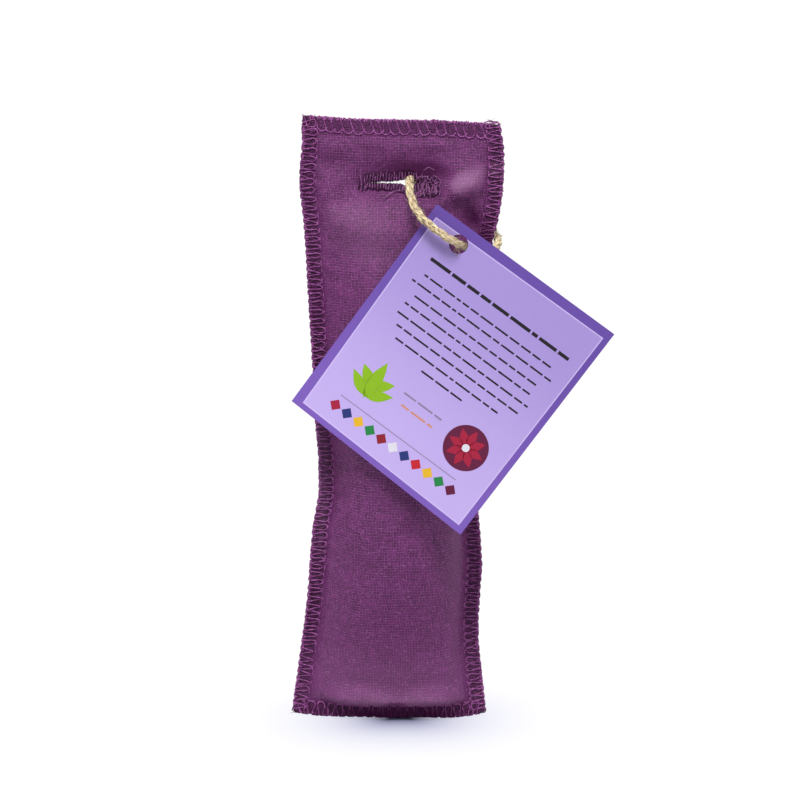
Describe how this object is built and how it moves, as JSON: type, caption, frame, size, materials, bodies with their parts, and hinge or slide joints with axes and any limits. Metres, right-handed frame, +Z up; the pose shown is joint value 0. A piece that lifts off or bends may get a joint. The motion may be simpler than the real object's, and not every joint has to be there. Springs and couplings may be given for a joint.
{
  "type": "lavender sachet",
  "caption": "Standing cloth sachet with overlocked edges, a filling of seeds and dried flowers, a hanger buttonhole, and a paper tag on a twine loop.",
  "frame": {"origin": "middle of the bottom seam, on the flat edge of the front panel that the sachet stands on", "axes": "+Z up the sachet, from the bottom seam to the top seam; +X to the right as the front is seen; +Y from the front, where the tag hangs, to the back"},
  "size_m": [0.1058, 0.0383, 0.2026],
  "materials": {
    "cloth": "plain woven cotton, plum",
    "thread": "spun sewing thread, plum, slightly glossy",
    "filling": "loose flax seeds and dried flowers",
    "twine": "jute twine, undyed, hairy",
    "card": "uncoated printed card"
  },
  "bodies": {
    "pouch": {"front_panel": "cloth", "back_panel": "cloth", "seed_fill": "filling", "needle_thread_left": "thread", "needle_thread_right": "thread", "needle_thread_bottom": "thread", "needle_thread_top": "thread", "upper_looper_left": "thread", "upper_looper_right": "thread", "upper_looper_bottom": "thread", "upper_looper_top": "thread", "lower_looper_left": "thread", "lower_looper_right": "thread", "lower_looper_bottom": "thread", "lower_looper_top": "thread", "buttonhole_needle_thread": "thread", "buttonhole_bobbin_thread": "thread"},
    "twine": {"twine_loop": "twine", "twine_knot": "twine"},
    "tag": {"hang_tag": "card"}
  },
  "joints": [
    {"name": "loop_lift", "type": "hinge", "parent": "pouch", "child": "twine", "pos_m": [0.007, 0.005, 0.1816], "axis": [-1, 0, 0], "range_deg": [0, 8]},
    {"name": "tag_swing", "type": "hinge", "parent": "twine", "child": "tag", "pos_m": [0.0228, -0.0078, 0.1615], "axis": [-0.1384, -0.9848, 0.1045], "range_deg": [-40, 40]}
  ]
}
